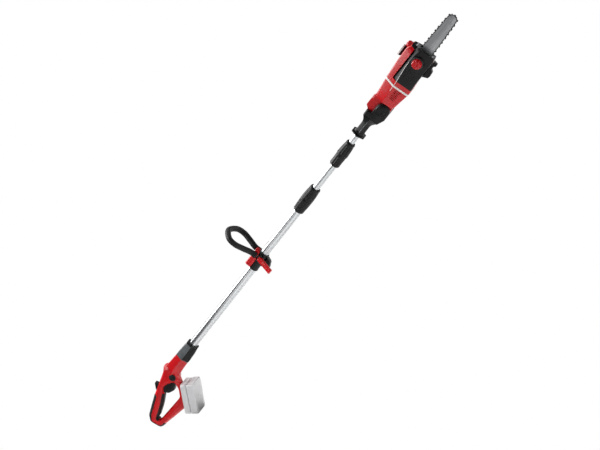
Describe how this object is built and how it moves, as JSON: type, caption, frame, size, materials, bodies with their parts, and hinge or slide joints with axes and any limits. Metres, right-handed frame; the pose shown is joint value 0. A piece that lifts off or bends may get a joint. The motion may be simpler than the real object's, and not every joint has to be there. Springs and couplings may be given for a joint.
{
  "type": "telescoping pole saw",
  "caption": "Cordless pole saw with a telescoping aluminium pole, a D grip with a slide-on battery, a sliding loop handle and a tilting chainsaw head.",
  "frame": {"origin": "on the pole's axis, half way along the tool", "axes": "+X along the pole towards the saw, +Z the upper side with the loop handle, -Y the sprocket cover side"},
  "size_m": [1.9057, 0.1172, 0.3051],
  "materials": {
    "red_plastic": "satin moulded red",
    "black_plastic": "fine-textured black",
    "black_rubber": "soft-touch black",
    "grey_plastic": "matt dark grey",
    "pale_plastic": "satin off-white",
    "tube_aluminium": "satin anodised",
    "bright_steel": "ground steel",
    "chain_steel": "oiled dark steel",
    "motor_steel": "plated steel can",
    "smoke_plastic": "pale grey, half clear"
  },
  "bodies": {
    "rear_handle": {"handle_shell_left": "red_plastic", "handle_shell_right": "red_plastic", "grip_back_pad": "black_rubber", "grip_inner_pad": "black_rubber", "handle_collar": "grey_plastic", "side_cap_left": "black_plastic", "side_cap_right": "black_plastic", "handle_bolt": "bright_steel", "handle_screw": "bright_steel", "trigger_pin": "bright_steel", "main_switch": "black_plastic", "terminal_block": "black_plastic", "outer_tube": "tube_aluminium", "lock_body": "black_plastic", "lock_collet": "pale_plastic"},
    "trigger": {"trigger": "black_plastic"},
    "lock_off": {"lock_off_button": "black_plastic"},
    "battery_pack": {"battery_case_top": "smoke_plastic", "battery_case_base": "smoke_plastic", "battery_cells": "grey_plastic"},
    "battery_release": {"battery_button": "black_plastic"},
    "pole_lock": {"lock_nut": "black_plastic"},
    "front_handle": {"clamp_sleeve": "black_plastic", "clamp_saddle": "red_plastic", "loop_handle": "black_rubber", "loop_bolt": "bright_steel", "lever_pin": "bright_steel"},
    "handle_lever": {"clamp_lever": "red_plastic"},
    "inner_pole": {"inner_tube": "tube_aluminium", "inner_end_plug": "black_plastic", "coupling_body": "black_plastic"},
    "coupling_lock": {"coupling_nut": "black_plastic"},
    "head_neck": {"head_spigot": "tube_aluminium", "neck_fork": "black_plastic", "pivot_pin": "bright_steel", "pivot_cap": "black_plastic"},
    "tilt_release": {"pivot_button": "black_plastic"},
    "saw_head": {"motor_shell_left": "red_plastic", "motor_shell_right": "red_plastic", "trim_ring": "pale_plastic", "motor_can": "motor_steel", "gearcase": "grey_plastic", "oil_tank": "pale_plastic", "shaft_bearing": "bright_steel", "sprocket_cover": "black_plastic", "bar_stud": "bright_steel", "spike_plate": "bright_steel", "limb_hook": "black_plastic"},
    "rotor": {"motor_rotor": "bright_steel", "bevel_pinion": "bright_steel"},
    "sprocket": {"sprocket_shaft": "bright_steel", "bevel_gear": "bright_steel", "drive_sprocket": "bright_steel"},
    "filler_cap": {"oil_cap": "black_plastic"},
    "bar_knob": {"cover_knob": "red_plastic"},
    "tensioner": {"tension_ring": "pale_plastic"},
    "bar": {"guide_bar": "bright_steel", "saw_chain": "chain_steel"},
    "nose_wheel": {"nose_sprocket": "bright_steel"}
  },
  "joints": [
    {"name": "trigger_pull", "type": "hinge", "parent": "rear_handle", "child": "trigger", "pos_m": [-0.77, 0, -0.0275], "axis": [0, 1, 0], "range_deg": [0, 8], "stiffness_Nm_per_rad": 0.6, "springref_deg": -9.74},
    {"name": "lock_off_press", "type": "slide", "parent": "rear_handle", "child": "lock_off", "axis": [0, 0, -1], "range_m": [0, 0.004], "stiffness_N_per_m": 800, "springref_m": -0.002},
    {"name": "battery_slide", "type": "slide", "parent": "rear_handle", "child": "battery_pack", "axis": [-0.7071, 0, -0.7071], "range_m": [0, 0.12]},
    {"name": "battery_release_press", "type": "slide", "parent": "battery_pack", "child": "battery_release", "axis": [0.7071, 0, 0.7071], "range_m": [0, 0.003], "stiffness_N_per_m": 800, "springref_m": -0.002},
    {"name": "pole_lock_turn", "type": "hinge", "parent": "rear_handle", "child": "pole_lock", "pos_m": [0.057, 0, 0], "axis": [1, 0, 0], "range_deg": [0, 120]},
    {"name": "front_handle_slide", "type": "slide", "parent": "rear_handle", "child": "front_handle", "axis": [1, 0, 0], "range_m": [-0.3, 0.15]},
    {"name": "lever_swing", "type": "hinge", "parent": "front_handle", "child": "handle_lever", "pos_m": [-0.191, -0.0223, 0.002], "axis": [-1, 0, 0], "range_deg": [0, 90]},
    {"name": "pole_extend", "type": "slide", "parent": "rear_handle", "child": "inner_pole", "axis": [1, 0, 0], "range_m": [-0.085, 0.65]},
    {"name": "coupling_turn", "type": "hinge", "parent": "inner_pole", "child": "coupling_lock", "pos_m": [0.322, 0, 0], "axis": [1, 0, 0], "range_deg": [0, 120]},
    {"name": "head_release", "type": "slide", "parent": "inner_pole", "child": "head_neck", "axis": [1, 0, 0], "range_m": [0, 0.06]},
    {"name": "tilt_release_press", "type": "slide", "parent": "head_neck", "child": "tilt_release", "axis": [0, 1, 0], "range_m": [0, 0.004], "stiffness_N_per_m": 1500, "springref_m": -0.002},
    {"name": "head_tilt", "type": "hinge", "parent": "head_neck", "child": "saw_head", "pos_m": [0.527, 0, -0.016], "axis": [0, 1, 0], "range_deg": [0, 90]},
    {"name": "sprocket_spin", "type": "hinge", "parent": "saw_head", "child": "sprocket", "pos_m": [0.688, 0, -0.01], "axis": [0, 1, 0], "continuous": true},
    {"name": "rotor_spin", "type": "hinge", "parent": "saw_head", "child": "rotor", "pos_m": [0.594, 0.004, -0.01], "axis": [1, 0, 0], "continuous": true},
    {"name": "filler_cap_turn", "type": "hinge", "parent": "saw_head", "child": "filler_cap", "pos_m": [0.728, 0.005, 0.05], "axis": [0, 0, 1], "range_deg": [0, 180]},
    {"name": "bar_knob_turn", "type": "hinge", "parent": "saw_head", "child": "bar_knob", "pos_m": [0.748, -0.05, -0.01], "axis": [0, 1, 0], "range_deg": [0, 360]},
    {"name": "tension_ring_turn", "type": "hinge", "parent": "saw_head", "child": "tensioner", "pos_m": [0.748, -0.042, -0.01], "axis": [0, 1, 0], "range_deg": [0, 120]},
    {"name": "bar_slide", "type": "slide", "parent": "saw_head", "child": "bar", "axis": [1, 0, 0], "range_m": [-0.004, 0]},
    {"name": "nose_wheel_spin", "type": "hinge", "parent": "bar", "child": "nose_wheel", "pos_m": [0.9345, -0.012, -0.01], "axis": [0, 1, 0], "continuous": true}
  ],
  "couplings": [
    {"joint": "rotor_spin", "follows": "sprocket_spin", "ratio": 3},
    {"joint": "nose_wheel_spin", "follows": "sprocket_spin", "ratio": 1.2},
    {"joint": "tension_ring_turn", "follows": "bar_slide", "rad_per_m": -520}
  ]
}
